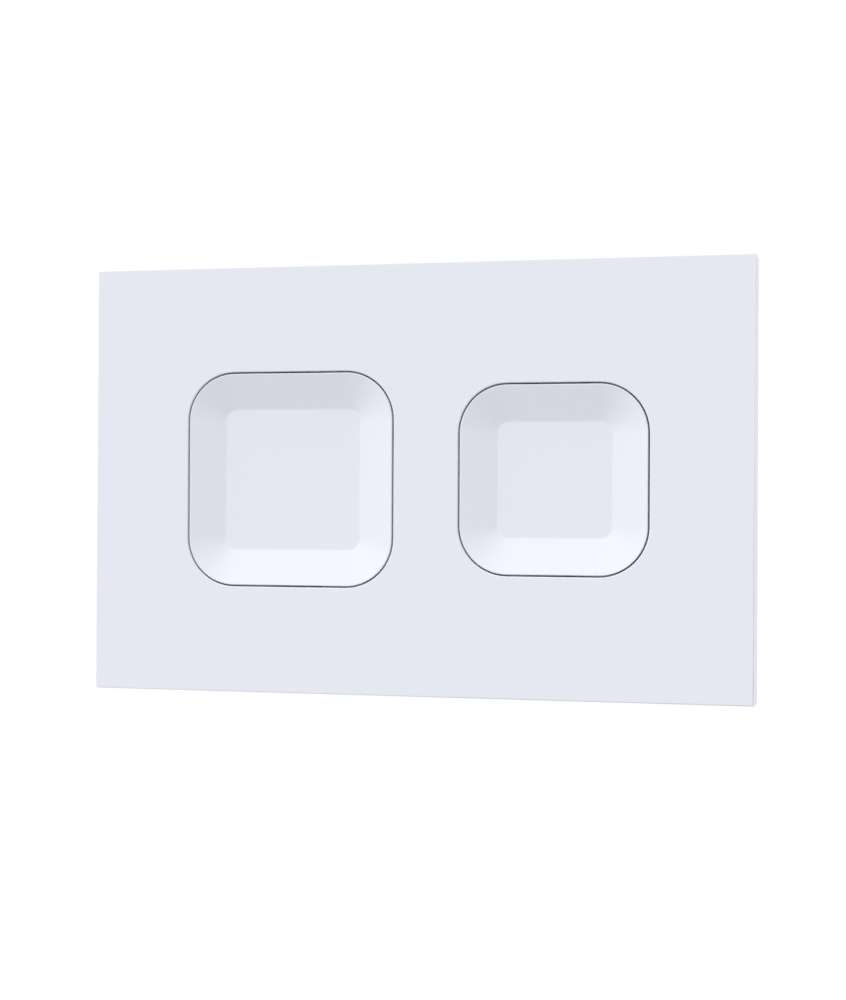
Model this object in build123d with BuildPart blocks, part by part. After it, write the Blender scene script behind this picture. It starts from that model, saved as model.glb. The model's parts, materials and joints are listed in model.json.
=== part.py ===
from build123d import *
from dataclasses import dataclass
from math import cos, pi, sin, sqrt
import os

# Dual flush button plate for a concealed cistern.
# X runs to the right, Y into the wall and Z up. The wall plane is Y = 0, and the origin lies on it,
# behind the middle of the plate. All depths below are Y values, negative in front of the wall.

# Cover plate
plate_width = 250.0
plate_height = 160.0
plate_depth = 13.0
plate_edge_radius = 0.5
face_wall = 2.4
rim_wall = 2.2
rib_wall = 1.2
rib_height = 1.6
rib_spread = 24.0

# Buttons and the openings they run in
full_button_size = 79.5
half_button_size = 69.3
button_corner_radius = 17.75
button_gap = 0.6
button_web = 24.5
press_travel = 5.0
dish_depth = 3.8
dish_run = 13.4
rim_land = 0.25
button_wall = 2.0
skirt_wall = 1.8
lug_length = 22.0
lug_overlap = 1.4
lug_thickness = 1.5
button_rib_height = 2.2

# Collars round the openings
collar_wall = 1.8
collar_depth = 6.8

# Guides on the back of each button
stem_diameter = 8.4
stem_length = 19.2
stem_clearance = 0.2
blade_width = 8.0
blade_thickness = 2.5
blade_length = 14.2
blade_inset = 6.0
blade_clearance = 0.3

# Return springs
spring_wire = 0.9
spring_diameter = 10.2
spring_turns = 4
spring_bends = 12
spring_play = 0.05
spring_clearance = 0.55

# Carrier behind the buttons
carrier_thickness = 2.5
carrier_corner = 3.0
carrier_rim = 11.5
carrier_spoke = 17.0
carrier_lip_wall = 1.6
carrier_lip_height = 3.0
cup_wall = 1.8
cup_depth = 5.0
cup_floor = 4.0
sleeve_wall = 1.5
sleeve_length = 4.0

# Rubber stops
pad_length = 14.0
pad_width = 3.0
pad_thickness = 1.6
pad_proud = 0.6
pad_fit = 0.05
stop_clearance = 0.1

# Screws that hold the carrier to the cover
screw_diameter = 2.9
screw_length = 9.5
screw_head_diameter = 5.6
screw_head_height = 2.1
screw_hole_clearance = 0.25
screw_fit = 0.05
boss_radius = 3.2
boss_clearance = 0.8
boss_edge = 5.0
boss_web = 1.4
pilot_spare = 1.0
screw_sides = 12

# Push rods and their lock nuts
rod_diameter = 5.0
rod_length = 59.0
rod_engagement = 12.0
rod_fit = 0.05
lock_nut_across_flats = 8.0
lock_nut_height = 4.0

# Mounting frame
frame_clearance = 0.4
frame_wall = 2.0
frame_base = 3.0
frame_depth = 8.0
frame_inner_depth = 5.0
frame_rib_wall = 1.6
frame_rib_spread_x = 22.5
frame_rib_spread_z = 30.0
frame_cutout_width = 22.0
frame_cutout_height = 18.0
frame_cutout_pitch = 45.0
frame_cutout_columns = 5
window_clearance = 1.8

# Studs, washers and nuts that fix the frame
fixing_clearance = 0.2
fixing_slot_length = 14.0
stud_front_diameter = 6.0
stud_back_diameter = 8.0
stud_reach = 45.0
slot_clearance = 0.3
slot_recess_depth = 1.0
slot_recess_clearance = 2.0
washer_size = 12.0
washer_thickness = 1.2
nut_across_flats = 10.0
nut_height = 5.0
thread_fit = 0.05
stud_nut_spare = 0.9

# Snap hooks that hold the cover on the frame
hook_spread = 67.5
hook_width = 12.0
hook_wall = 1.6
hook_clearance = 0.4
hook_catch = 1.2
hook_barb_length = 2.4
hook_tip_gap = 0.4
hook_window_clearance = 0.3

# Depths worked out from the sizes above
front = -plate_depth
face_back = front + face_wall
dish_floor = front + dish_depth
hollow_front = front + button_wall
button_back = dish_floor + button_wall
button_rib_back = button_back + button_rib_height
collar_back = front + collar_depth
skirt_back = collar_back + lug_thickness
carrier_front = skirt_back + press_travel + stop_clearance + pad_proud
carrier_back = carrier_front + carrier_thickness
spring_seat = carrier_front + cup_depth
cup_back = spring_seat + cup_floor
stem_back = button_back + stem_length
rod_front = stem_back - rod_engagement
frame_face = -frame_base
frame_inner_front = -frame_inner_depth
frame_front = -frame_depth
washer_front = frame_face - washer_thickness
nut_front = washer_front - nut_height
stud_front = nut_front - stud_nut_spare
stud_shoulder = -slot_recess_depth
hook_tip = frame_face - hook_tip_gap
hook_barb_front = hook_tip - hook_barb_length

# Outlines shared by pieces that fit each other
cavity_width = plate_width - 2 * rim_wall
cavity_height = plate_height - 2 * rim_wall
frame_width = cavity_width - 2 * frame_clearance
frame_height = cavity_height - 2 * frame_clearance
opening_radius = button_corner_radius + button_gap
collar_radius = opening_radius + collar_wall
skirt_inside_radius = button_corner_radius - skirt_wall
dish_radius = button_corner_radius - dish_run
rim_radius = button_corner_radius - rim_land
spring_room = spring_diameter + spring_wire + 2 * spring_clearance
stem_hole = stem_diameter + 2 * stem_clearance
blade_slot_width = blade_width + 2 * blade_clearance
blade_slot_thickness = blade_thickness + 2 * blade_clearance


@dataclass
class Flush:
    """One button and its opening: a name, the button's outline size and its centre on X."""

    name: str
    size: float
    x: float

    @property
    def opening(self):
        return self.size + 2 * button_gap

    @property
    def collar(self):
        return self.opening + 2 * collar_wall

    @property
    def lugs(self):
        return self.opening + 2 * lug_overlap

    @property
    def skirt_inside(self):
        return self.size - 2 * skirt_wall

    @property
    def dish(self):
        return self.size - 2 * dish_run

    @property
    def corner(self):
        """Where the outline's corner arcs have their centres, from the button's own centre."""
        return self.size / 2 - button_corner_radius

    @property
    def blade(self):
        return self.dish / 2 - blade_inset

    @property
    def pad(self):
        """The middle of a retaining lug, and of the rubber stop behind it, from the centre."""
        return (self.lugs + self.skirt_inside) / 4

    @property
    def boss(self):
        """How far a screw boss stands from the centre on X and Z, past the collar's corner."""
        reach = collar_radius + boss_clearance + boss_radius
        return self.corner + reach / sqrt(2)

    @property
    def carrier_window(self):
        return self.boss + boss_edge - carrier_rim - carrier_spoke / 2


# The two openings and the web between them are centred on the plate
buttons_width = full_button_size + half_button_size + 4 * button_gap + button_web
full_x = (full_button_size - buttons_width) / 2 + button_gap
half_x = (buttons_width - half_button_size) / 2 - button_gap
full = Flush("full_flush", full_button_size, full_x)
half = Flush("half_flush", half_button_size, half_x)
flushes = (full, half)

# A screw beyond each outer corner of the two buttons, and the carrier that reaches past the screws
screw_left = full.x - full.boss
screw_right = half.x + half.boss
screw_level = max(full.boss, half.boss)
screw_places = [(x, z) for x in (screw_left, screw_right) for z in (-screw_level, screw_level)]
carrier_middle = (screw_left + screw_right) / 2
carrier_width = screw_right - screw_left + 2 * boss_edge
carrier_height = 2 * (screw_level + boss_edge)
window_width = 2 * (max(-screw_left, screw_right) + boss_edge + window_clearance)
window_height = carrier_height + 2 * window_clearance
fixing_reach = window_width / 2 + frame_wall + fixing_clearance + washer_size / 2
fixing_places = [(-fixing_reach, 0), (fixing_reach, 0)]
hook_middles = (-hook_spread, hook_spread)


def facing(y):
    """The plane at depth y that faces the user, with its own x and y along X and Z."""
    return Plane.XZ.offset(-y)


def square_on(flush, size, radius):
    """Draw a rounded square round a button's centre."""
    with Locations((flush.x, 0)):
        RectangleRounded(size, size, radius)


def disc_on(flush, diameter):
    """Draw a disc round a button's centre."""
    with Locations((flush.x, 0)):
        Circle(diameter / 2)


def discs_at(places, diameter):
    with Locations(*places):
        Circle(diameter / 2)


def screws_at(diameter):
    """Draw the section of a screw, or of its hole or boss, at each screw place."""
    with Locations(*screw_places):
        RegularPolygon(diameter / 2, screw_sides)


def crossed_prisms(flush, near, far, reach, mode):
    """Build a prism along X and one along Z across a button, both narrowing from near to far."""
    (near_y, near_half), (far_y, far_half) = near, far
    profile = [(near_y, -near_half), (near_y, near_half), (far_y, far_half), (far_y, -far_half)]
    with BuildSketch(Plane.YZ.offset(flush.x - reach)) as along_x:
        with BuildLine():
            Polyline(*profile, close=True)
        make_face()
    extrude(along_x.sketch, amount=2 * reach)
    with BuildSketch(Plane.XY.offset(-reach)) as along_z:
        with BuildLine():
            Polyline(*[(flush.x + across, y) for y, across in profile], close=True)
        make_face()
    extrude(along_z.sketch, amount=2 * reach, mode=mode)


def save(piece, name):
    piece.part.label = name
    export_step(piece.part, f"parts/{name}.step")


os.makedirs("parts", exist_ok=True)

# Cover plate: a shallow tray with a collar round each opening, ribs, screw bosses and snap hooks
with BuildPart() as front_plate:
    with BuildSketch(facing(front)):
        Rectangle(plate_width, plate_height)
    extrude(amount=-plate_depth)
    fillet(front_plate.faces().sort_by(Axis.Y)[0].edges(), plate_edge_radius)
    with BuildSketch(facing(0)):
        Rectangle(cavity_width, cavity_height)
    extrude(amount=-face_back, mode=Mode.SUBTRACT)

    with BuildSketch(facing(face_back)):
        with Locations((0, -rib_spread), (0, rib_spread)):
            Rectangle(cavity_width, rib_wall)
        for flush in flushes:
            with Locations((flush.x - rib_spread, 0), (flush.x + rib_spread, 0)):
                Rectangle(rib_wall, cavity_height)
    extrude(amount=-rib_height)

    with BuildSketch(facing(face_back)):
        for flush in flushes:
            square_on(flush, flush.collar, collar_radius)
        for x, z in screw_places:
            flush = full if x < 0 else half
            with BuildLine():
                Line((flush.x, 0), (x, z))
            trace(line_width=boss_web)
    extrude(amount=face_back - collar_back)
    with BuildSketch(facing(face_back)):
        screws_at(2 * boss_radius)
    extrude(amount=face_back - carrier_front)

    hook_outside = frame_height / 2 - frame_wall - hook_clearance
    hook_inside = hook_outside - hook_wall
    hook_barb = hook_outside + hook_clearance + hook_catch
    for side in (-1, 1):
        for middle in hook_middles:
            with BuildSketch(Plane.YZ.offset(middle - hook_width / 2)):
                with BuildLine():
                    Polyline(
                        (face_back, side * hook_inside),
                        (hook_tip, side * hook_inside),
                        (hook_tip, side * hook_outside),
                        (hook_tip - hook_barb_length / 2, side * hook_barb),
                        (hook_barb_front, side * hook_barb),
                        (hook_barb_front, side * hook_outside),
                        (face_back, side * hook_outside),
                        close=True,
                    )
                make_face()
            extrude(amount=hook_width)

    with BuildSketch(facing(front)):
        for flush in flushes:
            square_on(flush, flush.opening, opening_radius)
    extrude(amount=front - collar_back, mode=Mode.SUBTRACT)
    with BuildSketch(facing(carrier_front)):
        screws_at(screw_diameter + 2 * screw_fit)
    extrude(amount=screw_length - carrier_thickness + pilot_spare, mode=Mode.SUBTRACT)
save(front_plate, "front_plate")

# Buttons: a dished cap on a straight skirt, with retaining lugs, a stem and guide blades behind
for flush in flushes:
    side = flush.corner
    with BuildPart() as dish:
        crossed_prisms(flush, (front, side + rim_radius), (dish_floor, flush.dish / 2), side, Mode.ADD)
        with Locations((flush.x, front + dish_depth / 2, 0)):
            with Locations(*[(x, 0, z) for x in (-side, side) for z in (-side, side)]):
                Cone(rim_radius, dish_radius, dish_depth, rotation=(-90, 0, 0))

    side = flush.size / 2
    with BuildPart() as dish_back:
        crossed_prisms(flush, (hollow_front, side), (button_back, flush.dish / 2), side, Mode.INTERSECT)

    with BuildPart() as hollow:
        with BuildSketch(facing(skirt_back)):
            square_on(flush, flush.skirt_inside, skirt_inside_radius)
        extrude(amount=skirt_back - hollow_front)
        add(dish_back.part, mode=Mode.SUBTRACT)

    with BuildPart() as button:
        with BuildSketch(facing(front)):
            square_on(flush, flush.size, button_corner_radius)
        extrude(amount=front - skirt_back)
        with BuildSketch(facing(collar_back)):
            with Locations((flush.x, 0)):
                with PolarLocations(flush.pad, 4):
                    Rectangle((flush.lugs - flush.skirt_inside) / 2, lug_length)
        extrude(amount=-lug_thickness)
        add(hollow.part, mode=Mode.SUBTRACT)

        with BuildSketch(facing(button_rib_back)):
            with Locations((flush.x, 0)):
                Rectangle(flush.skirt_inside, rib_wall)
                Rectangle(rib_wall, flush.skirt_inside)
        extrude(amount=button_rib_back - hollow_front)
        with BuildSketch(facing(button_back)):
            disc_on(flush, spring_room)
        extrude(amount=-button_rib_height, mode=Mode.SUBTRACT)
        with BuildSketch(facing(button_back)):
            disc_on(flush, stem_diameter)
        extrude(amount=-stem_length)
        with BuildSketch(facing(button_back)):
            with Locations((flush.x, -flush.blade), (flush.x, flush.blade)):
                Rectangle(blade_width, blade_thickness)
        extrude(amount=-blade_length)
        with BuildSketch(facing(stem_back)):
            disc_on(flush, rod_diameter + 2 * rod_fit)
        extrude(amount=rod_engagement, mode=Mode.SUBTRACT)
        add(dish.part, mode=Mode.SUBTRACT)
    save(button, f"{flush.name}_button")

# Carrier: a rear panel with a lip, and for each button a spring cup, a stem guide and two blade sleeves
with BuildPart() as button_carrier:
    with BuildSketch(facing(carrier_front)) as carrier_outline:
        with Locations((carrier_middle, 0)):
            Rectangle(carrier_width, carrier_height)
        chamfer(carrier_outline.vertices(), carrier_corner)
        for flush in flushes:
            pitch = carrier_spoke + flush.carrier_window
            with Locations((flush.x, 0)):
                with GridLocations(pitch, pitch, 2, 2):
                    Rectangle(flush.carrier_window, flush.carrier_window, mode=Mode.SUBTRACT)
    extrude(amount=-carrier_thickness)
    with BuildSketch(facing(carrier_back)) as carrier_lip:
        with Locations((carrier_middle, 0)):
            Rectangle(carrier_width, carrier_height)
        chamfer(carrier_lip.vertices(), carrier_corner)
        offset(amount=-carrier_lip_wall, kind=Kind.INTERSECTION, mode=Mode.SUBTRACT)
    extrude(amount=-carrier_lip_height)
    for flush in flushes:
        blade_places = [(flush.x, -flush.blade), (flush.x, flush.blade)]
        with BuildSketch(facing(carrier_front)):
            disc_on(flush, spring_room + 2 * cup_wall)
        extrude(amount=carrier_front - cup_back)
        with BuildSketch(facing(carrier_back)):
            with Locations(*blade_places):
                Rectangle(blade_slot_width + 2 * sleeve_wall, blade_slot_thickness + 2 * sleeve_wall)
        extrude(amount=-sleeve_length)
        with BuildSketch(facing(carrier_front)):
            disc_on(flush, spring_room)
        extrude(amount=-cup_depth, mode=Mode.SUBTRACT)
        with BuildSketch(facing(spring_seat)):
            disc_on(flush, stem_hole)
        extrude(amount=-cup_floor, mode=Mode.SUBTRACT)
        with BuildSketch(facing(carrier_front)):
            with Locations(*blade_places):
                Rectangle(blade_slot_width, blade_slot_thickness)
        extrude(amount=-carrier_thickness - sleeve_length, mode=Mode.SUBTRACT)
        with BuildSketch(facing(carrier_front)):
            with Locations((flush.x, 0)):
                with PolarLocations(flush.pad, 4):
                    Rectangle(pad_width + 2 * pad_fit, pad_length + 2 * pad_fit)
        extrude(amount=pad_proud - pad_thickness, mode=Mode.SUBTRACT)
    with BuildSketch(facing(carrier_front)):
        screws_at(screw_diameter + 2 * screw_hole_clearance)
    extrude(amount=-carrier_thickness, mode=Mode.SUBTRACT)
save(button_carrier, "button_carrier")

# Carrier screws, with their heads on the carrier's back
with BuildPart() as carrier_screws:
    with BuildSketch(facing(carrier_back)):
        screws_at(screw_head_diameter)
    extrude(amount=-screw_head_height)
    with BuildSketch(facing(carrier_back)):
        screws_at(screw_diameter)
    extrude(amount=screw_length)
save(carrier_screws, "carrier_screws")

# Return spring, rubber stops, push rod and lock nut of each button
for flush in flushes:
    coil_front = button_back + spring_play + spring_wire / 2
    coil_back = spring_seat - spring_play - spring_wire / 2
    bends = spring_turns * spring_bends
    with BuildPart() as spring:
        with BuildLine() as coil:
            Polyline(
                *[
                    (
                        flush.x + spring_diameter / 2 * cos(2 * pi * i / spring_bends),
                        coil_front + (coil_back - coil_front) * i / bends,
                        spring_diameter / 2 * sin(2 * pi * i / spring_bends),
                    )
                    for i in range(bends + 1)
                ]
            )
        with BuildSketch(Plane(coil.line @ 0, z_dir=coil.line % 0)):
            RegularPolygon(spring_wire / 2, 6)
        sweep(transition=Transition.RIGHT)
    save(spring, f"{flush.name}_spring")

    with BuildPart() as stop_pads:
        with BuildSketch(facing(carrier_front - pad_proud)):
            with Locations((flush.x, 0)):
                with PolarLocations(flush.pad, 4):
                    Rectangle(pad_width, pad_length)
        extrude(amount=-pad_thickness)
    save(stop_pads, f"{flush.name}_stop_pads")

    with BuildPart() as push_rod:
        with BuildSketch(facing(rod_front)):
            disc_on(flush, rod_diameter)
        extrude(amount=-rod_length)
    save(push_rod, f"{flush.name}_push_rod")

    with BuildPart() as lock_nut:
        with BuildSketch(facing(stem_back)):
            with Locations((flush.x, 0)):
                RegularPolygon(lock_nut_across_flats / 2, 6, major_radius=False)
                Circle(rod_diameter / 2 + rod_fit, mode=Mode.SUBTRACT)
        extrude(amount=-lock_nut_height)
    save(lock_nut, f"{flush.name}_lock_nut")

# Mounting frame: a channel-section ring with levelling slots, cut-outs and catch windows
with BuildPart() as mounting_frame:
    cutout_level = (window_height + frame_height) / 2
    with BuildSketch(facing(frame_face)):
        Rectangle(frame_width, frame_height)
        Rectangle(window_width, window_height, mode=Mode.SUBTRACT)
        with GridLocations(frame_cutout_pitch, cutout_level, frame_cutout_columns, 2):
            Rectangle(frame_cutout_width, frame_cutout_height, mode=Mode.SUBTRACT)
        with Locations(*fixing_places):
            SlotOverall(
                fixing_slot_length, stud_front_diameter + 2 * slot_clearance, rotation=90, mode=Mode.SUBTRACT
            )
    extrude(amount=-frame_base)
    with BuildSketch(facing(frame_front)):
        Rectangle(frame_width, frame_height)
        Rectangle(frame_width - 2 * frame_wall, frame_height - 2 * frame_wall, mode=Mode.SUBTRACT)
    extrude(amount=frame_front - frame_face)
    with BuildSketch(facing(frame_inner_front)):
        with GridLocations(2 * frame_rib_spread_x, 0, 2, 1):
            Rectangle(frame_rib_wall, frame_height - frame_wall)
        with GridLocations(0, 2 * frame_rib_spread_z, 1, 2):
            Rectangle(frame_width - frame_wall, frame_rib_wall)
        Rectangle(window_width + 2 * frame_wall, window_height + 2 * frame_wall)
        Rectangle(window_width, window_height, mode=Mode.SUBTRACT)
    extrude(amount=frame_inner_front - frame_face)

    with BuildSketch(facing(stud_shoulder)):
        with Locations(*fixing_places):
            Rectangle(
                stud_back_diameter + 2 * slot_recess_clearance,
                stud_back_diameter + 2 * slot_recess_clearance + fixing_slot_length - stud_front_diameter,
            )
    extrude(amount=-slot_recess_depth, mode=Mode.SUBTRACT)
    catch_length = hook_barb_length + hook_tip_gap + hook_window_clearance
    with Locations((0, frame_face - catch_length / 2, 0)):
        with GridLocations(2 * hook_spread, 0, 2, 1):
            Box(hook_width + 2 * hook_window_clearance, catch_length, frame_height, mode=Mode.SUBTRACT)
save(mounting_frame, "mounting_frame")

# Fixing studs: a thin front end for the nut and a thicker back end that screws into the cistern
with BuildPart() as fixing_studs:
    with BuildSketch(facing(stud_front)):
        discs_at(fixing_places, stud_front_diameter)
    extrude(amount=stud_front - stud_shoulder)
    with BuildSketch(facing(stud_shoulder)):
        discs_at(fixing_places, stud_back_diameter)
    extrude(amount=stud_shoulder - stud_reach)
save(fixing_studs, "fixing_studs")

# Square washers that bridge the levelling slots
with BuildPart() as fixing_washers:
    with BuildSketch(facing(washer_front)):
        with Locations(*fixing_places):
            Rectangle(washer_size, washer_size)
            Circle(stud_front_diameter / 2 + slot_clearance, mode=Mode.SUBTRACT)
    extrude(amount=-washer_thickness)
save(fixing_washers, "fixing_washers")

# Nuts that clamp the frame against the studs' shoulders
with BuildPart() as fixing_nuts:
    with BuildSketch(facing(nut_front)):
        with Locations(*fixing_places):
            RegularPolygon(nut_across_flats / 2, 6, major_radius=False)
            Circle(stud_front_diameter / 2 + thread_fit, mode=Mode.SUBTRACT)
    extrude(amount=-nut_height)
save(fixing_nuts, "fixing_nuts")
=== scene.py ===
import json
from math import cos, pi, radians, sin

import bmesh
import bpy
from mathutils import Matrix, Vector

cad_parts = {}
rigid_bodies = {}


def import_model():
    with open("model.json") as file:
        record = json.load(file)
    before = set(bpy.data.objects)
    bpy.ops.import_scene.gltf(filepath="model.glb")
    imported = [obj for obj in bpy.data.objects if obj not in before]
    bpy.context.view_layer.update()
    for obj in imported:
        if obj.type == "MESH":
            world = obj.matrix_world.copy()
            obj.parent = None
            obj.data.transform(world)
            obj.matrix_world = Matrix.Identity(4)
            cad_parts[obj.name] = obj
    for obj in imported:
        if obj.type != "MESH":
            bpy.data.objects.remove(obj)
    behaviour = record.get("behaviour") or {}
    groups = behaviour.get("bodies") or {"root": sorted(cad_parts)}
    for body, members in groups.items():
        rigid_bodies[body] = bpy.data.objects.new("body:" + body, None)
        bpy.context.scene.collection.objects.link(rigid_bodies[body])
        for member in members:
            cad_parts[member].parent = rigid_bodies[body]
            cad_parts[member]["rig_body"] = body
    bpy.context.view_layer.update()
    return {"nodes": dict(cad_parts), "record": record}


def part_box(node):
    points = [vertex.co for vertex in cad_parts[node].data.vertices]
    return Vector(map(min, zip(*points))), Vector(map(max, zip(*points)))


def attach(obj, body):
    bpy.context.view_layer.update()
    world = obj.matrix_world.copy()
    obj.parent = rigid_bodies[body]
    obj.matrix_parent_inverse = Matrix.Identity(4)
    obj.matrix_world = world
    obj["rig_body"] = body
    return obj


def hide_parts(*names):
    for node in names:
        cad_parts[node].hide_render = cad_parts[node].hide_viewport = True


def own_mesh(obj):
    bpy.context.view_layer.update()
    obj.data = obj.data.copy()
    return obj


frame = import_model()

# A white dual flush plate for a concealed cistern. X runs to the right, Y into the wall and Z up.
# Lengths are in millimetres and turns in degrees. Forms are brought to metres when they become pieces.
MM = 0.001

# View: where the camera stands and looks, for a picture of 846 by 1000 pixels
CAMERA_PLACE = (187.22, -724.10, -10.73)
CAMERA_YAW = 14.430
CAMERA_PITCH = 0.249
CAMERA_ROLL = 0.287
LENS = 71.86
SENSOR = 36.0

# Light: a soft room, brighter above and to the left in front and plainer behind,
# and a lamp at the right end of the plate
FRONT_LEVEL = 0.727
FRONT_SLOPE = (-0.64, -0.3, 1.20)
FRONT_LEAST = 0.05
REAR_LEVEL = 0.85
REAR_SLOPE = (0.0, 0.0, -0.3)
REAR_BLEND = 0.15
WHITE = (1.0, 1.0, 1.0, 1.0)
SIDE_LAMP_PLACE = (1200.0, 20.0, 60.0)
SIDE_LAMP_SIZE = 400.0
SIDE_LAMP_POWER = 1.42

# Floor: a pale disc that fades out over the outer half of its radius
STAGE_LEVEL = -1000.0
STAGE_RADIUS = 600.0
STAGE_SEGMENTS = 96
STAGE_FADE = 0.5
STAGE_DARK = (0.79, 0.79, 0.79)
STAGE_LIGHT = (0.81, 0.81, 0.81)
STAGE_ROUGH = (0.7, 0.8)

# Buttons: a dished cap with a skirt, and lugs, ribs, a stem and blades on it.
# The sides are right, left, top and bottom.
CORNER_RADIUS = 17.75
CORNER_STEPS = 24
BUTTON_GAP = 0.6
DISH_DEPTH = 3.8
DISH_RUN = 13.4
BUTTON_WALL = 2.0
SKIRT_WALL = 1.8
SKIRT_DEPTH = 8.3
LUG_OVERLAP = 1.4
LUG_LENGTH = 22.0
LUG_THICKNESS = 1.5
RIB_WALL = 1.2
RIB_HEIGHT = 2.2
SIDES = ((1, 0), (-1, 0), (0, 1), (0, -1))
STEM_RADIUS = 4.2
STEM_BORE_RADIUS = 2.55
STEM_BORE_DEPTH = 12.0
STEM_SEGMENTS = 64
BLADE_SIZE = (8.0, 14.2, 2.5)
BLADE_INSET = 6.0

# Rounded edges: the radius and the number of steps
OPENING_ROUND = (0.4, 3)
RIM_ROUND = (0.4, 4)
DISH_FLOOR_ROUND = (0.45, 5)
BLADE_ROUND = (0.25, 3)
PANEL_ROUND = (0.25, 2)
NUT_ROUND = (0.45, 2)
PAD_ROUND = (0.35, 2)
ROD_TIP_ROUND = (0.945, 6)
STUD_FRONT_ROUND = (0.6, 2)
STUD_TIP_ROUND = (0.8, 2)

# Springs: open turns between one closed turn at each end, in a round room behind the dish
SPRING_RADIUS = 5.1
SPRING_WIRE_RADIUS = 0.45
SPRING_WIRE_SEGMENTS = 12
SPRING_OPEN_TURNS = 4
SPRING_CLOSED_LIFT = 1.0
SPRING_STEPS = 32
SPRING_ROOM = 6.1

# Threads: half the ridge's width as a share of the pitch, and the share of its depth that shows
THREAD_STEPS = 28
THREAD_HALF_WIDTH = 0.45
THREAD_SHOWING = 0.8

# Push rods and studs
BAR_SEGMENTS = 48
ROD_PITCH = 1.0
ROD_THREAD_DEPTH = 0.5
ROD_THREAD_LEAD = 2.0
ROD_PLAIN_TIP = 5.0
STUD_PITCH = 1.25
STUD_THREAD_DEPTH = 0.65
STUD_RECESS_DEPTH = 1.0
STUD_COLLAR = 3.0
STUD_NUT_RADIUS = 3.0

# Carrier screws: pan heads with a cross recess. The bulge is a share of the head's height.
SCREW_SEGMENTS = 32
SCREW_HEAD_RADIUS = 2.8
SCREW_HEAD_HEIGHT = 2.1
SCREW_HEAD_BULGE = 0.55
SCREW_HEAD_STEPS = 6
SCREW_SHANK_RADIUS = 1.45
RECESS_RADIUS = 1.6
RECESS_WIDTH = 0.75
RECESS_DEPTH = 1.2

# Tolerances, and the turns below which an edge is flat or smooth and above which it is sharp
WELD_DISTANCE = 0.002
CUT_DISTANCE = 0.0001
NEAR = 0.01
FLAT_TURN = 0.4
SMOOTH_TURN = 35
SHARP_TURN = 50

# The middle range of a noise, which a finish spreads over all its tones
NOISE_LOW = 0.3
NOISE_HIGH = 0.7


def node_box(node):
    """A CAD node's lowest and highest corners, in millimetres."""
    low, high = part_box(node)
    return low / MM, high / MM


PLATE_FACE = node_box("front_plate")[0].y
DISH_BACK = PLATE_FACE + DISH_DEPTH + BUTTON_WALL
SLOTS = {subpart["node"]: subpart["material_slot"] for subpart in frame["record"]["subparts"]}


# Forms shared by several pieces


def turn_to_face(bm, verts):
    """Turn a form drawn on the XY plane so that it stands upright and faces the user."""
    bmesh.ops.rotate(bm, cent=(0, 0, 0), matrix=Matrix.Rotation(pi / 2, 3, "X"), verts=verts)


def edges_at(verts):
    """The edges that meet at these corners, each named once."""
    return list(dict.fromkeys(edge for vert in verts for edge in vert.link_edges))


def faces_at(verts):
    """The faces that meet at these corners, each named once."""
    return list(dict.fromkeys(face for vert in verts for face in vert.link_faces))


def region(faces):
    """Faces with their edges and corners, each named once."""
    return list(dict.fromkeys(part for face in faces for part in (face, *face.edges, *face.verts)))


def add_box(bm, middle, size):
    """A box, of which the corners are returned."""
    made = bmesh.ops.create_cube(bm, size=1.0)
    bmesh.ops.scale(bm, vec=size, verts=made["verts"])
    bmesh.ops.translate(bm, vec=middle, verts=made["verts"])
    return made["verts"]


def add_bar(bm, x, z, start, end, radius, segments=BAR_SEGMENTS):
    """A round bar along Y, closed at both ends. Returns its end edges, front and back."""
    made = bmesh.ops.create_cone(
        bm, cap_ends=True, segments=segments, radius1=radius, radius2=radius, depth=end - start
    )
    turn_to_face(bm, made["verts"])
    bmesh.ops.translate(bm, vec=(x, (start + end) / 2, z), verts=made["verts"])
    caps = [face for face in faces_at(made["verts"]) if len(face.verts) == segments]
    caps.sort(key=lambda face: face.calc_center_median().y)
    return [list(face.edges) for face in caps]


def add_thread(bm, x, z, start, end, crest, depth, pitch):
    """A three-cornered ridge wound round a bar along Y."""
    turns = round((end - start) / pitch)
    root = crest - depth
    half_width = THREAD_HALF_WIDTH * pitch
    corners = ((root, -half_width), (crest, 0.0), (root, half_width))
    section = bm.faces.new([bm.verts.new((x + radius, start + rise, z)) for radius, rise in corners])
    bmesh.ops.spin(
        bm,
        geom=region([section]),
        cent=(x, start, z),
        axis=(0, 1, 0),
        dvec=(0, pitch / THREAD_STEPS, 0),
        angle=2 * pi * turns,
        steps=THREAD_STEPS * turns,
        use_merge=False,
    )


def round_edges(bm, edges, radius, steps):
    """Round edges off to a radius."""
    bmesh.ops.bevel(
        bm,
        geom=edges,
        offset=radius,
        offset_type="OFFSET",
        segments=steps,
        profile=0.5,
        affect="EDGES",
        clamp_overlap=False,
        material=-1,
    )


def cut(bm, faces, place, across):
    """Cut faces along a plane and return all the pieces, in order across the plane."""
    made = bmesh.ops.bisect_plane(
        bm, geom=region(faces), plane_co=place, plane_no=across, dist=CUT_DISTANCE
    )["geom"]
    pieces = [part for part in made if isinstance(part, bmesh.types.BMFace)]
    return sorted(pieces, key=lambda face: face.calc_center_median().dot(across))


def push(bm, faces, move):
    """Extrude faces by a move and return them at the new place."""
    made = bmesh.ops.extrude_face_region(bm, geom=region(faces))["geom"]
    bmesh.ops.translate(bm, vec=move, verts=[v for v in made if isinstance(v, bmesh.types.BMVert)])
    return [f for f in made if isinstance(f, bmesh.types.BMFace)]


def inset(bm, face, run, rise):
    """Draw a face in by run on all sides and lift it by rise."""
    bmesh.ops.inset_individual(bm, faces=[face], thickness=run, depth=rise, use_even_offset=True)


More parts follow.
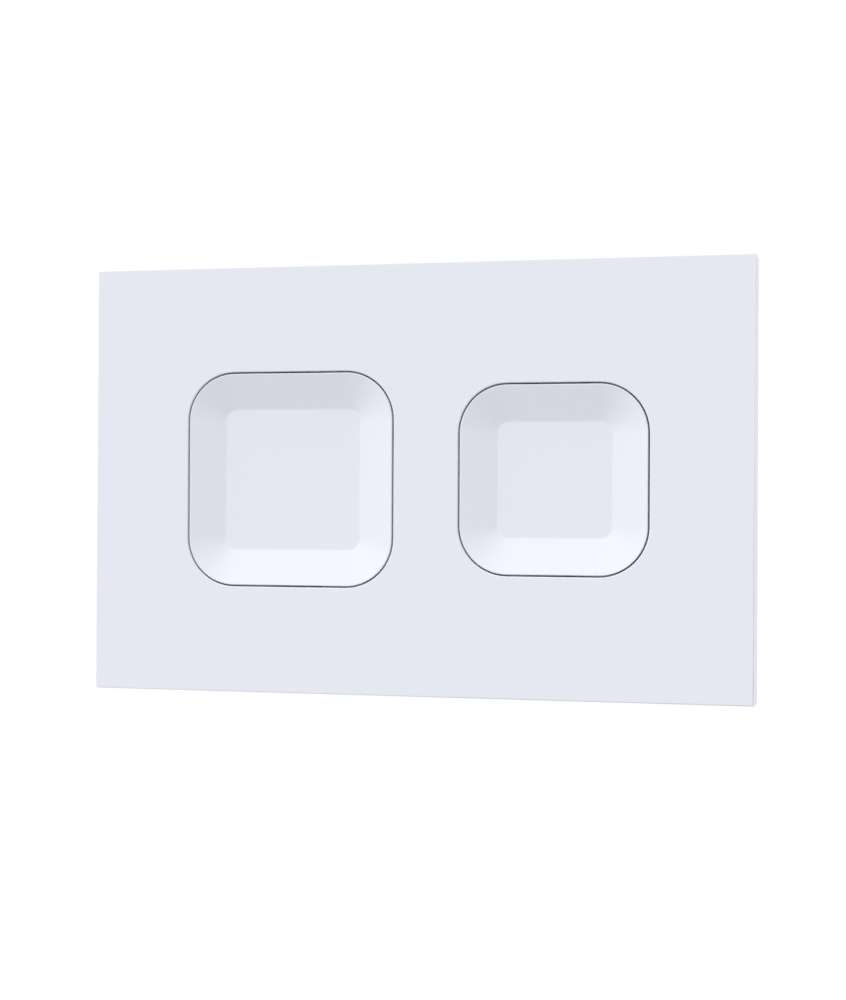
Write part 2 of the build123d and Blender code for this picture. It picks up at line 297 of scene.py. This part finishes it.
def cad_form(node):
    """A merged copy of a CAD node's mesh, in millimetres, with its flat faces whole."""
    bm = bmesh.new()
    bm.from_mesh(frame["nodes"][node].data)
    bmesh.ops.scale(bm, vec=Vector((1, 1, 1)) / MM, verts=bm.verts)
    bmesh.ops.remove_doubles(bm, verts=bm.verts, dist=WELD_DISTANCE)
    bmesh.ops.dissolve_limit(bm, angle_limit=radians(FLAT_TURN), verts=bm.verts, edges=bm.edges)
    return bm


def outer_edges(bm):
    """The sharp edges that stand out of a form."""
    convex = [edge for edge in bm.edges if edge.is_manifold and edge.is_convex]
    return [edge for edge in convex if edge.calc_face_angle() > radians(SHARP_TURN)]


def make_piece(bm, name, node):
    """Turn a form into a piece that stands for a CAD node, rides on its body and has its finish."""
    bmesh.ops.scale(bm, vec=Vector((MM, MM, MM)), verts=bm.verts)
    mesh = bpy.data.meshes.new(name)
    bm.to_mesh(mesh)
    bm.free()
    mesh.polygons.foreach_set("use_smooth", [True] * len(mesh.polygons))
    mesh.set_sharp_from_angle(angle=radians(SMOOTH_TURN))
    mesh.materials.append(FINISHES[SLOTS[node]])
    piece = bpy.data.objects.new(name, mesh)
    bpy.context.scene.collection.objects.link(piece)
    weighted = piece.modifiers.new("weighted_normals", "WEIGHTED_NORMAL")
    weighted.keep_sharp = True
    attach(piece, frame["nodes"][node]["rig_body"])
    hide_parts(node)
    return piece


# Finishes


class Finish:
    """A procedural surface. Its textures read Object coordinates, in metres."""

    def __init__(self, name):
        self.material = bpy.data.materials.new(name)
        self.material.use_nodes = True
        self.nodes = self.material.node_tree.nodes
        self.links = self.material.node_tree.links
        self.shader = self.nodes["Principled BSDF"]
        self.place = self.nodes.new("ShaderNodeTexCoord").outputs["Object"]

    def noise(self, scale, detail, stretch=(1.0, 1.0, 1.0)):
        """A cloudy factor, which a stretch draws out into lines."""
        mapping = self.nodes.new("ShaderNodeMapping")
        mapping.inputs["Scale"].default_value = stretch
        self.links.new(self.place, mapping.inputs["Vector"])
        noise = self.nodes.new("ShaderNodeTexNoise")
        noise.inputs["Scale"].default_value = scale
        noise.inputs["Detail"].default_value = detail
        self.links.new(mapping.outputs["Vector"], noise.inputs["Vector"])
        return noise.outputs["Fac"]

    def tones(self, factor, dark, light):
        """Let a factor choose between two near colours."""
        ramp = self.nodes.new("ShaderNodeValToRGB")
        ramp.color_ramp.elements[0].position = NOISE_LOW
        ramp.color_ramp.elements[0].color = (*dark, 1.0)
        ramp.color_ramp.elements[1].position = NOISE_HIGH
        ramp.color_ramp.elements[1].color = (*light, 1.0)
        self.links.new(factor, ramp.inputs["Fac"])
        self.links.new(ramp.outputs["Color"], self.shader.inputs["Base Color"])

    def roughness(self, factor, low, high):
        """Let a factor choose between two degrees of roughness."""
        spread = self.nodes.new("ShaderNodeMapRange")
        spread.inputs["From Min"].default_value = NOISE_LOW
        spread.inputs["From Max"].default_value = NOISE_HIGH
        spread.inputs["To Min"].default_value = low
        spread.inputs["To Max"].default_value = high
        self.links.new(factor, spread.inputs["Value"])
        self.links.new(spread.outputs["Result"], self.shader.inputs["Roughness"])

    def bump(self, factor, strength, height):
        """A fine relief."""
        bump = self.nodes.new("ShaderNodeBump")
        bump.inputs["Strength"].default_value = strength
        bump.inputs["Distance"].default_value = height * MM
        self.links.new(factor, bump.inputs["Height"])
        self.links.new(bump.outputs["Normal"], self.shader.inputs["Normal"])

    def fade_out(self, radius, share):
        """Let the surface fade to nothing over the outer share of a radius round the Z axis."""
        shrink = 1 / (radius * MM)
        mapping = self.nodes.new("ShaderNodeMapping")
        mapping.inputs["Scale"].default_value = (shrink, shrink, 0.0)
        self.links.new(self.place, mapping.inputs["Vector"])
        nearness = self.nodes.new("ShaderNodeTexGradient")
        nearness.gradient_type = "SPHERICAL"
        self.links.new(mapping.outputs["Vector"], nearness.inputs["Vector"])
        fade = self.nodes.new("ShaderNodeMapRange")
        fade.interpolation_type = "SMOOTHSTEP"
        fade.inputs["From Max"].default_value = share
        self.links.new(nearness.outputs["Fac"], fade.inputs["Value"])
        clear = self.nodes.new("ShaderNodeBsdfTransparent")
        blend = self.nodes.new("ShaderNodeMixShader")
        self.links.new(fade.outputs["Result"], blend.inputs["Fac"])
        self.links.new(clear.outputs["BSDF"], blend.inputs[1])
        self.links.new(self.shader.outputs["BSDF"], blend.inputs[2])
        self.links.new(blend.outputs["Shader"], self.nodes["Material Output"].inputs["Surface"])


def moulded_plastic(name, dark, light, rough, grain):
    """A moulding with a faint flow of tone and a fine grain."""
    finish = Finish(name)
    finish.tones(finish.noise(scale=14, detail=3), dark, light)
    finish.roughness(finish.noise(scale=55, detail=2), *rough)
    finish.bump(finish.noise(scale=2600, detail=1), strength=grain, height=0.05)
    return finish.material


def plated_steel(name, dark, light, rough, stretch):
    """Bright metal with fine drawing lines."""
    finish = Finish(name)
    finish.shader.inputs["Metallic"].default_value = 1.0
    finish.tones(finish.noise(scale=220, detail=3, stretch=stretch), dark, light)
    finish.roughness(finish.noise(scale=340, detail=2, stretch=stretch), *rough)
    finish.bump(finish.noise(scale=1800, detail=1, stretch=stretch), strength=0.12, height=0.04)
    return finish.material


def soft_rubber(name, dark, light, rough):
    """Dull rubber with a fine grain."""
    finish = Finish(name)
    finish.tones(finish.noise(scale=160, detail=3), dark, light)
    finish.roughness(finish.noise(scale=300, detail=2), *rough)
    finish.bump(finish.noise(scale=1900, detail=2), strength=0.3, height=0.06)
    return finish.material


FINISHES = {
    "white_plastic": moulded_plastic(
        "satin_white",
        dark=(0.792, 0.816, 0.894),
        light=(0.798, 0.822, 0.900),
        rough=(0.30, 0.36),
        grain=0.03,
    ),
    "inner_plastic": moulded_plastic(
        "pale_grey",
        dark=(0.66, 0.67, 0.68),
        light=(0.70, 0.71, 0.72),
        rough=(0.45, 0.55),
        grain=0.12,
    ),
    "frame_plastic": moulded_plastic(
        "plain_grey",
        dark=(0.50, 0.51, 0.52),
        light=(0.54, 0.55, 0.56),
        rough=(0.48, 0.58),
        grain=0.14,
    ),
    "rod_plastic": moulded_plastic(
        "black_thread",
        dark=(0.030, 0.031, 0.033),
        light=(0.042, 0.043, 0.045),
        rough=(0.36, 0.46),
        grain=0.08,
    ),
    "spring_steel": plated_steel(
        "drawn_wire",
        dark=(0.40, 0.41, 0.43),
        light=(0.52, 0.53, 0.55),
        rough=(0.22, 0.34),
        stretch=(1.0, 3.0, 1.0),
    ),
    "zinc_steel": plated_steel(
        "zinc_plate",
        dark=(0.44, 0.45, 0.47),
        light=(0.56, 0.57, 0.59),
        rough=(0.28, 0.42),
        stretch=(1.0, 0.3, 1.0),
    ),
    "rubber": soft_rubber(
        "soft_black",
        dark=(0.028, 0.028, 0.03),
        light=(0.05, 0.05, 0.052),
        rough=(0.68, 0.82),
    ),
}


# Cover plate


def make_front_plate():
    """The cover, with the edges of its two openings rounded."""
    bm = cad_form("front_plate")
    at_face = [
        edge for edge in outer_edges(bm) if all(abs(v.co.y - PLATE_FACE) < NEAR for v in edge.verts)
    ]
    round_edges(bm, at_face, *OPENING_ROUND)
    make_piece(bm, "cover_plate", "front_plate")


# Buttons


def add_button_face(bm, x, size):
    """A flat rounded square that faces the user."""
    made = bmesh.ops.create_grid(bm, x_segments=1, y_segments=1, size=size / 2)
    bmesh.ops.bevel(
        bm,
        geom=made["verts"],
        offset=CORNER_RADIUS,
        offset_type="OFFSET",
        segments=CORNER_STEPS,
        profile=0.5,
        affect="VERTICES",
        material=-1,
    )
    turn_to_face(bm, bm.verts)
    bmesh.ops.translate(bm, vec=(x, PLATE_FACE, 0), verts=bm.verts)
    bm.faces.ensure_lookup_table()
    return bm.faces[0]


def add_lugs(bm, x):
    """Draw a retaining lug out of the back edge of each side of the skirt."""
    lug_front = PLATE_FACE + SKIRT_DEPTH - LUG_THICKNESS
    for across, up in SIDES:
        out = Vector((across, 0, up))
        along = Vector((up, 0, across))
        wall = max(bm.faces, key=lambda face: face.normal.dot(out) * face.calc_area())
        middle = Vector((x, lug_front, 0))
        _, strip = cut(bm, [wall], middle, Vector((0, 1, 0)))
        _, strip = cut(bm, [strip], middle - along * LUG_LENGTH / 2, along)
        lug, _ = cut(bm, [strip], middle + along * LUG_LENGTH / 2, along)
        push(bm, [lug], out * (LUG_OVERLAP + BUTTON_GAP))


def add_cap(bm, x, size):
    """The dished cap with its skirt and lugs, hollow behind."""
    face = add_button_face(bm, x, size)
    (back,) = push(bm, [face], (0, SKIRT_DEPTH, 0))
    bmesh.ops.recalc_face_normals(bm, faces=bm.faces)
    add_lugs(bm, x)

    rim = list(face.edges)
    inset(bm, face, DISH_RUN, -DISH_DEPTH)
    dish_floor = list(face.edges)
    wall_foot = PLATE_FACE + BUTTON_WALL + DISH_DEPTH * SKIRT_WALL / DISH_RUN
    inset(bm, back, SKIRT_WALL, 0.0)
    (back,) = push(bm, [back], (0, wall_foot - PLATE_FACE - SKIRT_DEPTH, 0))
    inset(bm, back, DISH_RUN - SKIRT_WALL, DISH_BACK - wall_foot)
    round_edges(bm, rim, *RIM_ROUND)
    round_edges(bm, dish_floor, *DISH_FLOOR_ROUND)


def add_ribs(bm, x, size):
    """Four ribs behind the dish, from the spring's room out into the skirt."""
    front = PLATE_FACE + BUTTON_WALL + DISH_DEPTH / 2
    back = DISH_BACK + RIB_HEIGHT
    length = (size - SKIRT_WALL) / 2 - SPRING_ROOM
    offset = SPRING_ROOM + length / 2
    for across, up in SIDES:
        width = length if across else RIB_WALL
        height = length if up else RIB_WALL
        middle = (x + across * offset, (front + back) / 2, up * offset)
        add_box(bm, middle, (width, back - front, height))


def add_stem(bm, x, end):
    """The hollow stem that holds the push rod, from inside the dish's wall to its open end."""
    start = DISH_BACK - BUTTON_WALL / 2
    made = bmesh.ops.create_circle(bm, cap_ends=True, segments=STEM_SEGMENTS, radius=STEM_RADIUS)
    turn_to_face(bm, made["verts"])
    bmesh.ops.translate(bm, vec=(x, end, 0), verts=made["verts"])
    mouth = made["verts"][0].link_faces[0]
    (base,) = push(bm, [mouth], (0, start - end, 0))
    bmesh.ops.recalc_face_normals(bm, faces=[mouth, *faces_at(base.verts)])
    inset(bm, mouth, STEM_RADIUS - STEM_BORE_RADIUS, 0.0)
    push(bm, [mouth], (0, -STEM_BORE_DEPTH, 0))


def add_blades(bm, x, size):
    """Two blades behind the dish, which run in the carrier's sleeves."""
    level = size / 2 - DISH_RUN - BLADE_INSET
    length = BLADE_SIZE[1]
    for z in (-level, level):
        blade = add_box(bm, (x, DISH_BACK + length / 2, z), BLADE_SIZE)
        round_edges(bm, edges_at(blade), *BLADE_ROUND)


def make_button(name, node):
    """A button: cap, lugs, ribs, stem and guide blades in one moulding."""
    low, high = node_box(node)
    x = (low.x + high.x) / 2
    size = high.x - low.x - 2 * (LUG_OVERLAP + BUTTON_GAP)
    bm = bmesh.new()
    add_cap(bm, x, size)
    add_ribs(bm, x, size)
    add_stem(bm, x, high.y)
    add_blades(bm, x, size)
    make_piece(bm, name, node)


# Springs


def make_spring(name, node):
    """A coil of round wire, like the real spring that shortens as its button goes in."""
    low, high = node_box(node)
    middle = (low + high) / 2
    length = high.y - low.y
    start = low.y + SPRING_WIRE_RADIUS
    open_lift = length - 2 * SPRING_WIRE_RADIUS - 2 * SPRING_CLOSED_LIFT
    coils = ((1, SPRING_CLOSED_LIFT), (SPRING_OPEN_TURNS, open_lift), (1, SPRING_CLOSED_LIFT))
    bm = bmesh.new()
    made = bmesh.ops.create_circle(
        bm, cap_ends=True, segments=SPRING_WIRE_SEGMENTS, radius=SPRING_WIRE_RADIUS
    )
    bmesh.ops.translate(bm, vec=(middle.x + SPRING_RADIUS, start, 0), verts=made["verts"])
    wire = region(bm.faces)
    for turns, lift in coils:
        steps = turns * SPRING_STEPS
        wire = bmesh.ops.spin(
            bm,
            geom=wire,
            cent=(middle.x, start, 0),
            axis=(0, 1, 0),
            dvec=(0, lift / steps, 0),
            angle=2 * pi * turns,
            steps=steps,
            use_merge=False,
        )["geom_last"]
    bmesh.ops.recalc_face_normals(bm, faces=bm.faces)
    piece = make_piece(bm, name, node)
    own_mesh(piece)


# Threaded bars


def make_push_rod(name, node, nut_node):
    """A threaded rod with a plain, rounded tip. The thread starts a little before the nut."""
    low, high = node_box(node)
    x = (low.x + high.x) / 2
    radius = (high.x - low.x) / 2
    core = radius - THREAD_SHOWING * ROD_THREAD_DEPTH
    thread_start = node_box(nut_node)[0].y - ROD_THREAD_LEAD
    thread_end = high.y - ROD_PLAIN_TIP
    bm = bmesh.new()
    _, back = add_bar(bm, x, 0, low.y, high.y, core)
    round_edges(bm, back, *ROD_TIP_ROUND)
    add_thread(bm, x, 0, thread_start, thread_end, radius, ROD_THREAD_DEPTH, ROD_PITCH)
    bmesh.ops.recalc_face_normals(bm, faces=bm.faces)
    make_piece(bm, name, node)


def make_studs():
    """Two stepped studs, with a plain collar at the wall and a long thread behind it."""
    low, high = node_box("fixing_studs")
    radius = (high.z - low.z) / 2
    core = radius - THREAD_SHOWING * STUD_THREAD_DEPTH
    shoulder = node_box("mounting_frame")[1].y - STUD_RECESS_DEPTH
    thread_start = shoulder + STUD_COLLAR
    thread_end = high.y - STUD_PITCH
    bm = bmesh.new()
    for x in (low.x + radius, high.x - radius):
        front, _ = add_bar(bm, x, 0, low.y, shoulder, STUD_NUT_RADIUS)
        round_edges(bm, front, *STUD_FRONT_ROUND)
        _, back = add_bar(bm, x, 0, shoulder, high.y, core)
        round_edges(bm, back, *STUD_TIP_ROUND)
        add_bar(bm, x, 0, shoulder, thread_start, radius)
        add_thread(bm, x, 0, thread_start, thread_end, radius, STUD_THREAD_DEPTH, STUD_PITCH)
    bmesh.ops.recalc_face_normals(bm, faces=bm.faces)
    make_piece(bm, "wall_studs", "fixing_studs")


# Carrier screws


def add_screw_head(bm, x, z, seat, top):
    """A pan head round an axis along Y: flat in the middle and curved down to a straight rim."""
    bulge = SCREW_HEAD_BULGE * (top - seat)
    ring = SCREW_HEAD_RADIUS - RECESS_RADIUS
    turns = [pi / 2 * step / SCREW_HEAD_STEPS for step in range(SCREW_HEAD_STEPS + 1)]
    curve = [(RECESS_RADIUS + ring * sin(turn), top - bulge * (1 - cos(turn))) for turn in turns]
    profile = [(0.0, top), *curve, (SCREW_HEAD_RADIUS, seat), (0.0, seat)]
    verts = [bm.verts.new((x + radius, y, z)) for radius, y in profile]
    edges = [bm.edges.new(pair) for pair in zip(verts, verts[1:])]
    bmesh.ops.spin(
        bm,
        geom=verts + edges,
        cent=(x, 0, z),
        axis=(0, 1, 0),
        angle=2 * pi,
        steps=SCREW_SEGMENTS,
        use_merge=True,
    )
    bmesh.ops.remove_doubles(bm, verts=bm.verts, dist=WELD_DISTANCE)


def sink_cross(bm, centre):
    """Sink a cross recess into the flat middle of a screw head."""
    disc = [face for face in bm.faces if (face.calc_center_median() - centre).length < RECESS_RADIUS]
    for across in (Vector((1, 0, 0)), Vector((0, 0, 1))):
        for side in (-RECESS_WIDTH / 2, RECESS_WIDTH / 2):
            disc = cut(bm, disc, centre + across * side, across)
    cross = []
    for face in disc:
        off = face.calc_center_median() - centre
        if min(abs(off.x), abs(off.z)) < RECESS_WIDTH / 2:
            cross.append(face)
    push(bm, cross, (0, -RECESS_DEPTH, 0))


def make_screws():
    """Four screws, of which the heads sit on the carrier's back and face the wall."""
    low, high = node_box("carrier_screws")
    middle = (low + high) / 2
    seat = high.y - SCREW_HEAD_HEIGHT
    reach = (high.x - low.x) / 2 - SCREW_HEAD_RADIUS
    level = (high.z - low.z) / 2 - SCREW_HEAD_RADIUS
    bm = bmesh.new()
    for x in (middle.x - reach, middle.x + reach):
        for z in (middle.z - level, middle.z + level):
            add_screw_head(bm, x, z, seat, high.y)
            sink_cross(bm, Vector((x, high.y, z)))
            add_bar(bm, x, z, low.y, seat + RECESS_DEPTH / 2, SCREW_SHANK_RADIUS, SCREW_SEGMENTS)
    bmesh.ops.recalc_face_normals(bm, faces=bm.faces)
    make_piece(bm, "carrier_screw_set", "carrier_screws")


# Pieces that keep their CAD form


def make_eased(name, node, rounding):
    """A piece in its CAD form, with its outer edges rounded."""
    bm = cad_form(node)
    round_edges(bm, outer_edges(bm), *rounding)
    make_piece(bm, name, node)


make_front_plate()
for flush in ("full_flush", "half_flush"):
    make_button(f"{flush}_cap", f"{flush}_button")
    make_spring(f"{flush}_coil", f"{flush}_spring")
    make_push_rod(f"{flush}_rod", f"{flush}_push_rod", f"{flush}_lock_nut")
    make_eased(f"{flush}_rod_nut", f"{flush}_lock_nut", NUT_ROUND)
    make_eased(f"{flush}_stops", f"{flush}_stop_pads", PAD_ROUND)
make_eased("carrier", "button_carrier", PANEL_ROUND)
make_eased("wall_frame", "mounting_frame", PANEL_ROUND)
make_eased("wall_nuts", "fixing_nuts", NUT_ROUND)
make_eased("wall_washers", "fixing_washers", PANEL_ROUND)
make_studs()
make_screws()


# Stage, light and camera


def make_stage():
    """A plain pale floor below the plate, with a soft edge."""
    bm = bmesh.new()
    bmesh.ops.create_circle(bm, cap_ends=True, segments=STAGE_SEGMENTS, radius=STAGE_RADIUS * MM)
    bmesh.ops.translate(bm, vec=(0, 0, STAGE_LEVEL * MM), verts=bm.verts)
    mesh = bpy.data.meshes.new("floor")
    bm.to_mesh(mesh)
    bm.free()
    finish = Finish("pale_floor")
    finish.tones(finish.noise(scale=5, detail=2), STAGE_DARK, STAGE_LIGHT)
    finish.roughness(finish.noise(scale=8, detail=2), *STAGE_ROUGH)
    finish.fade_out(STAGE_RADIUS, STAGE_FADE)
    mesh.materials.append(finish.material)
    floor = bpy.data.objects.new("floor", mesh)
    bpy.context.scene.collection.objects.link(floor)


def add_light_level(nodes, links, direction, slope, level):
    """A light level that changes evenly with direction."""
    lean = nodes.new("ShaderNodeVectorMath")
    lean.operation = "DOT_PRODUCT"
    lean.inputs[1].default_value = slope
    links.new(direction, lean.inputs[0])
    total = nodes.new("ShaderNodeMath")
    total.operation = "ADD"
    total.inputs[1].default_value = level
    links.new(lean.outputs["Value"], total.inputs[0])
    return total.outputs["Value"]


def add_plain_sight(nodes, links):
    """A factor of 1 for what the camera, a reflection or a clear body sees."""
    path = nodes.new("ShaderNodeLightPath")
    seen = path.outputs["Is Camera Ray"]
    for kind in ("Is Glossy Ray", "Is Transmission Ray"):
        either = nodes.new("ShaderNodeMath")
        either.operation = "MAXIMUM"
        links.new(seen, either.inputs[0])
        links.new(path.outputs[kind], either.inputs[1])
        seen = either.outputs["Value"]
    return seen


def make_room_light():
    """Soft light from all round. The camera and reflections see plain white."""
    world = bpy.data.worlds.new("room")
    bpy.context.scene.world = world
    world.use_nodes = True
    nodes = world.node_tree.nodes
    links = world.node_tree.links
    nodes.clear()
    direction = nodes.new("ShaderNodeTexCoord").outputs["Generated"]
    front = nodes.new("ShaderNodeMath")
    front.operation = "MAXIMUM"
    front.inputs[1].default_value = FRONT_LEAST
    links.new(add_light_level(nodes, links, direction, FRONT_SLOPE, FRONT_LEVEL), front.inputs[0])
    rear = add_light_level(nodes, links, direction, REAR_SLOPE, REAR_LEVEL)
    parts = nodes.new("ShaderNodeSeparateXYZ")
    links.new(direction, parts.inputs["Vector"])
    blend = nodes.new("ShaderNodeMapRange")
    blend.interpolation_type = "SMOOTHSTEP"
    blend.inputs["From Min"].default_value = -REAR_BLEND
    blend.inputs["From Max"].default_value = REAR_BLEND
    links.new(parts.outputs["Y"], blend.inputs["Value"])
    links.new(front.outputs["Value"], blend.inputs["To Min"])
    links.new(rear, blend.inputs["To Max"])

    soft = nodes.new("ShaderNodeBackground")
    soft.inputs["Color"].default_value = WHITE
    links.new(blend.outputs["Result"], soft.inputs["Strength"])
    plain = nodes.new("ShaderNodeBackground")
    plain.inputs["Color"].default_value = WHITE
    mix = nodes.new("ShaderNodeMixShader")
    links.new(add_plain_sight(nodes, links), mix.inputs["Fac"])
    links.new(soft.outputs["Background"], mix.inputs[1])
    links.new(plain.outputs["Background"], mix.inputs[2])
    out = nodes.new("ShaderNodeOutputWorld")
    links.new(mix.outputs["Shader"], out.inputs["Surface"])


def make_side_lamp():
    """A soft lamp in line with the face, which lights the plate's right end."""
    lamp = bpy.data.lights.new("side_lamp", "AREA")
    lamp.size = SIDE_LAMP_SIZE * MM
    lamp.energy = SIDE_LAMP_POWER
    holder = bpy.data.objects.new("side_lamp", lamp)
    holder.location = Vector(SIDE_LAMP_PLACE) * MM
    holder.rotation_euler = holder.location.to_track_quat("Z", "Y").to_euler()
    bpy.context.scene.collection.objects.link(holder)


def make_camera():
    """The camera, turned up from its own straight-down view by a right angle and its pitch."""
    camera = bpy.data.cameras.new("camera")
    camera.sensor_fit = "VERTICAL"
    camera.sensor_height = SENSOR
    camera.lens = LENS
    holder = bpy.data.objects.new("camera", camera)
    turn = (
        Matrix.Rotation(radians(CAMERA_YAW), 4, "Z")
        @ Matrix.Rotation(radians(90 + CAMERA_PITCH), 4, "X")
        @ Matrix.Rotation(radians(CAMERA_ROLL), 4, "Z")
    )
    holder.matrix_world = Matrix.Translation(Vector(CAMERA_PLACE) * MM) @ turn
    bpy.context.scene.collection.objects.link(holder)
    bpy.context.scene.camera = holder


make_stage()
make_room_light()
make_side_lamp()
make_camera()
bpy.context.scene.view_settings.view_transform = "Standard"
